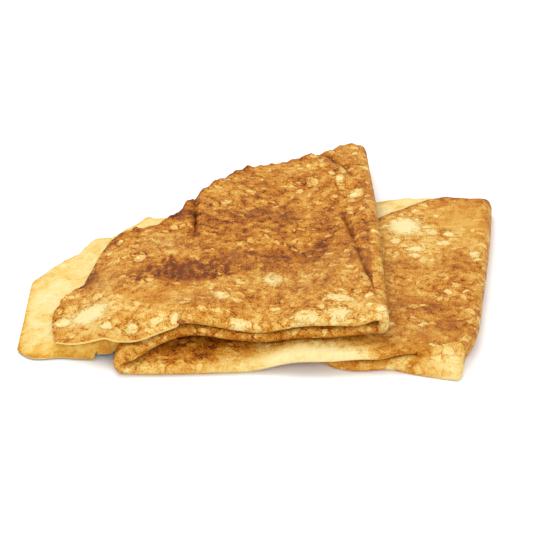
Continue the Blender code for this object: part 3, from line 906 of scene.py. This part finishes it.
def pale_batter():
    """The inner side, griddled last and least: light yellow, with faint golden veins."""
    material, tree, shader = new_material("pale batter")
    place = in_millimetres(tree, 1.1)

    # Lumps per millimetre: clouds 7 mm, veins 2.4 mm and a fine grain 0.9 mm across
    fields = []
    for scale, detail, distortion in ((0.15, 4.0, 0.8), (0.42, 4.0, 0.5), (1.1, 3.0, 0.2)):
        field = add_node(tree, "ShaderNodeTexNoise",
                         {"Vector": place, "Scale": scale, "Detail": detail, "Roughness": 0.6,
                          "Distortion": distortion})
        fields.append(add_node(tree, "ShaderNodeMath", {0: field.outputs["Fac"], 1: 0.5},
                               operation="SUBTRACT").outputs[0])
    clouds, veins, fine = fields
    vein = add_node(tree, "ShaderNodeMath", {0: veins}, operation="ABSOLUTE").outputs[0]
    vein = add_node(tree, "ShaderNodeMapRange",
                    {"Value": vein, "From Min": 0.035, "From Max": 0.0},
                    interpolation_type="SMOOTHSTEP").outputs[0]
    # The painted browning darkens the rims, and adds painted shade along the torn front under the
    # top flap
    bake_and_painted_light = add_node(tree, "ShaderNodeAttribute", attribute_name="bake_and_painted_light").outputs["Fac"]
    level = weighted(tree, 0.3, (clouds, 1.5), (veins, 0.5), (fine, 0.7), (vein, 0.14),
                     (bake_and_painted_light, 0.8))
    colour = add_node(tree, "ShaderNodeValToRGB", {"Fac": level})
    set_ramp(colour, ((0.0, "#E2D09C"), (0.3, "#DEC680"), (0.55, "#D9B45E"), (0.8, "#CE9C3C"),
                      (1.0, "#BC8228")))
    tree.links.new(colour.outputs["Color"], shader.inputs["Base Color"])
    height = weighted(tree, fine, (veins, 1.0))
    relief = add_node(tree, "ShaderNodeBump",
                      {"Height": height, "Strength": 0.6, "Distance": 0.5 * MM})
    tree.links.new(relief.outputs[0], shader.inputs["Normal"])
    shader.inputs["Roughness"].default_value = 0.5
    set_soft_body(shader)
    return material


def two_toned(name, lumps_per_metre, detail, one, other):
    """A material that goes unevenly from one colour to the other, and its shader."""
    material, tree, shader = new_material(name)
    where = add_node(tree, "ShaderNodeTexCoord").outputs["Object"]
    lumps = add_node(tree, "ShaderNodeTexNoise",
                     {"Vector": where, "Scale": lumps_per_metre, "Detail": detail})
    colour = add_node(tree, "ShaderNodeValToRGB", {"Fac": lumps.outputs["Fac"]})
    set_ramp(colour, ((0.3, one), (0.7, other)))
    tree.links.new(colour.outputs["Color"], shader.inputs["Base Color"])
    return material, shader


def batter_edge():
    """The sheet's thin rim: dry, gold and slightly ragged, with a crumb of about 1.4 mm."""
    material, shader = two_toned("batter edge", 700.0, 3.0, "#E2CC84", "#D8B45C")
    shader.inputs["Roughness"].default_value = 0.6
    set_soft_body(shader)
    return material


def caramel_sauce():
    """Boiled sugar, butter and cream: amber brown in swirls of 2.5 mm, sticky and glossy."""
    material, shader = two_toned("caramel sauce", 400.0, 2.0, "#7C3606", "#A05410")
    shader.inputs["Roughness"].default_value = 0.3
    shader.inputs["Specular IOR Level"].default_value = 0.3
    return material


def studio_paper():
    """Matt white background paper."""
    material, _, shader = new_material("studio paper")
    shader.inputs["Base Color"].default_value = srgb("#F4F4F4")
    shader.inputs["Roughness"].default_value = 0.9
    return material


# Settings


class CrepeSettings(bpy.types.PropertyGroup):
    """Sizes of the sheet."""

    thickness: bpy.props.FloatProperty(
        name="Thickness", description="Thickness of the sheet away from its rims",
        default=SHEET * MM, min=0.0005, unit="LENGTH")
    rim_share: bpy.props.FloatProperty(
        name="Rim", description="Thickness of the lacy rim, as a share of the sheet's",
        default=0.5, min=0.1, max=1.0, subtype="FACTOR")


class StageSettings(bpy.types.PropertyGroup):
    """The studio and the camera."""

    key_power: bpy.props.FloatProperty(
        name="Key light", description="Power of the softbox above", default=7.6, min=0.0)
    fill_power: bpy.props.FloatProperty(
        name="Fill light", description="Power of the softbox in front", default=8.2, min=0.0)
    surround: bpy.props.FloatProperty(
        name="Surround", description="Strength of the white surround", default=0.7, min=0.0)
    elevation: bpy.props.FloatProperty(
        name="Elevation", description="Camera's height above the horizon",
        default=math.radians(30.0), subtype="ANGLE")
    distance: bpy.props.FloatProperty(
        name="Distance", description="Camera's distance from the crepe", default=0.6,
        unit="LENGTH")


# Modelling steps


def in_scene(x, y, z):
    """The scene's place for a point of the drawing plan."""
    return Vector((x - ORIGIN_X, y - ORIGIN_Y, z)) * MM


def deselect_all():
    """Leaves nothing selected, so that the next step works on its own object."""
    for ob in bpy.data.objects:
        ob.select_set(False)


def added_object():
    """The primitive that was just added, as the one selected object."""
    return bpy.context.active_object


def delete_faces(ob, unwanted):
    """Deletes the faces with the given numbers."""
    bpy.ops.object.mode_set(mode="EDIT")
    bpy.ops.mesh.select_mode(type="FACE")
    bpy.ops.object.mode_set(mode="OBJECT")
    for poly in ob.data.polygons:
        poly.select = poly.index in unwanted
    bpy.ops.object.mode_set(mode="EDIT")
    bpy.ops.mesh.delete(type="FACE")
    bpy.ops.object.mode_set(mode="OBJECT")


def store(mesh, name, values):
    """Keeps one number per vertex under a name that the materials read."""
    attribute = mesh.attributes.new(name, "FLOAT", "POINT")
    attribute.data.foreach_set("value", np.asarray(values, dtype=np.float32))


def torn_faces(mesh, column, row):
    """The faces of the torn front, where the roll is split and a nick ends the split."""
    unwanted = set()
    for poly in mesh.polygons:
        i = int(min(column[v] for v in poly.vertices))
        j = int(min(row[v] for v in poly.vertices))
        split = i < NOTCH_COLUMNS and LAST_PALE_ROW <= j < FIRST_BROWN_ROW
        nick = i == TORN_COLUMNS and j == LAST_PALE_ROW - 1
        if split or nick:
            unwanted.add(poly.index)
    return unwanted


class CREPE_OT_sheet(bpy.types.Operator):
    """Models the folded sheet"""

    bl_idname = "crepe.sheet"
    bl_label = "Folded sheet"

    def execute(self, context):
        settings = context.scene.crepe
        grid, run_of = folded_grid()
        relieve_top(grid, run_of == TOP_RUN)
        relieve_tuck(grid, run_of >= OUTER_RUN)
        relieve_flap(grid, run_of == TOP_RUN)
        looks = paint(grid, run_of)
        columns, rows = grid.shape[:2]
        deselect_all()
        bpy.ops.mesh.primitive_grid_add(x_subdivisions=columns - 1, y_subdivisions=rows - 1,
                                        size=1.0)
        crepe = added_object()
        crepe.name = "folded_crepe"
        mesh = crepe.data
        flat = np.empty(len(mesh.vertices) * 3, np.float32)
        mesh.vertices.foreach_get("co", flat)
        flat = flat.reshape(-1, 3)
        column = np.rint((flat[:, 0] + 0.5) * (columns - 1)).astype(int)
        row = np.rint((flat[:, 1] + 0.5) * (rows - 1)).astype(int)
        folded = grid[column, row] - np.array((ORIGIN_X, ORIGIN_Y, 0.0))
        mesh.vertices.foreach_set("co", (folded * MM).astype(np.float32).ravel())
        for name, values in looks.items():
            store(mesh, name, values[column, row])
        from_split = np.where(row < PALE_ROWS, LAST_PALE_ROW - row, row - FIRST_BROWN_ROW)
        from_split = np.where(column <= NOTCH_COLUMNS, np.maximum(from_split, 0), rows)
        from_rim = np.minimum(np.minimum(row, rows - 1 - row), np.minimum(column, from_split))
        group = crepe.vertex_groups.new(name="body of the sheet")
        for k, weight in enumerate(np.clip(from_rim / RIM_STEPS, 0.0, 1.0)):
            group.add([k], float(weight), "REPLACE")
        delete_faces(crepe, torn_faces(mesh, column, row))
        for make in (griddled_batter, pale_batter, batter_edge):
            mesh.materials.append(make())
        wall = crepe.modifiers.new("thickness", "SOLIDIFY")
        wall.thickness = settings.thickness
        wall.offset = 0.0
        wall.material_offset = 1
        wall.material_offset_rim = 2
        wall.vertex_group = group.name
        wall.thickness_vertex_group = settings.rim_share
        bpy.ops.object.modifier_apply(modifier=wall.name)
        bpy.ops.object.shade_smooth_by_angle(angle=SMOOTH_ANGLE)
        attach(crepe, "root")
        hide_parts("crepe")
        return {"FINISHED"}


class CREPE_OT_caramel(bpy.types.Operator):
    """Models the bead of caramel in the torn end of the front roll"""

    bl_idname = "crepe.caramel"
    bl_label = "Caramel"

    def execute(self, context):
        deselect_all()
        middle = in_scene(*BEAD_PLACE)
        bpy.ops.mesh.primitive_uv_sphere_add(segments=40, ring_count=24,
                                             radius=BEAD_RADIUS * MM, location=middle)
        bead = added_object()
        bead.name = "caramel_bead"
        bead.scale = BEAD_SHAPE
        bpy.ops.object.transform_apply(location=True, rotation=True, scale=True)
        for vertex in bead.data.vertices:
            lump = noise.fractal(vertex.co * BEAD_LUMPS_PER_METRE, 1.0, 2.0, 2)
            away = vertex.co - middle
            vertex.co = middle + away * (1.0 + BEAD_UNEVENNESS * lump)
        bead.data.materials.append(caramel_sauce())
        bpy.ops.object.shade_smooth()
        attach(bead, "root")
        return {"FINISHED"}


class CREPE_OT_stage(bpy.types.Operator):
    """Sets the paper, the soft lights and the camera"""

    bl_idname = "crepe.stage"
    bl_label = "Studio"

    def execute(self, context):
        settings = context.scene.crepe_stage
        deselect_all()
        bpy.ops.mesh.primitive_plane_add(size=PAPER_SIZE, location=(0.0, 0.0, 0.0))
        paper = added_object()
        paper.name = "studio_paper"
        paper.data.materials.append(studio_paper())
        world = bpy.data.worlds.new("white studio")
        world.use_nodes = True
        background = world.node_tree.nodes["Background"]
        background.inputs["Color"].default_value = (1.0, 1.0, 1.0, 1.0)
        background.inputs["Strength"].default_value = settings.surround
        context.scene.world = world
        for name, place, power in (("softbox above", ABOVE, settings.key_power),
                                   ("softbox in front", IN_FRONT, settings.fill_power)):
            lamp = bpy.data.lights.new(name, "AREA")
            lamp.size = SOFTBOX_SIZE
            lamp.energy = power
            holder = bpy.data.objects.new(name, lamp)
            holder.location = place
            holder.rotation_euler = (-Vector(place)).to_track_quat("-Z", "Y").to_euler()
            context.scene.collection.objects.link(holder)
        camera = bpy.data.cameras.new("camera")
        camera.lens = LENS_MM
        camera.sensor_width = SENSOR_MM
        view = bpy.data.objects.new("camera", camera)
        back = Vector((0.0, -math.cos(settings.elevation), math.sin(settings.elevation)))
        view.location = in_scene(*TARGET) + settings.distance * back
        view.rotation_euler = Euler((math.pi / 2.0 - settings.elevation, 0.0, 0.0))
        context.scene.collection.objects.link(view)
        context.scene.camera = view
        # White paper stays white, where the default transform would grey it
        context.scene.view_settings.view_transform = "Standard"
        return {"FINISHED"}


class CREPE_PT_panel(bpy.types.Panel):
    """Crepe"""

    bl_label = "Folded crepe"
    bl_space_type = "VIEW_3D"
    bl_region_type = "UI"
    bl_category = "Crepe"

    def draw(self, context):
        for settings in (context.scene.crepe, context.scene.crepe_stage):
            for name in settings.__annotations__:
                self.layout.prop(settings, name)
        for operator in (CREPE_OT_sheet, CREPE_OT_caramel, CREPE_OT_stage):
            self.layout.operator(operator.bl_idname)


CLASSES = (CrepeSettings, StageSettings, CREPE_OT_sheet, CREPE_OT_caramel, CREPE_OT_stage,
           CREPE_PT_panel)


def register():
    """Registers the classes and adds the settings to the scene."""
    for cls in CLASSES:
        bpy.utils.register_class(cls)
    bpy.types.Scene.crepe = bpy.props.PointerProperty(type=CrepeSettings)
    bpy.types.Scene.crepe_stage = bpy.props.PointerProperty(type=StageSettings)


def unregister():
    """Takes the settings and the classes away again."""
    del bpy.types.Scene.crepe_stage
    del bpy.types.Scene.crepe
    for cls in reversed(CLASSES):
        bpy.utils.unregister_class(cls)


def main():
    register()
    bpy.ops.crepe.sheet()
    bpy.ops.crepe.caramel()
    bpy.ops.crepe.stage()


if __name__ == "__main__":
    main()
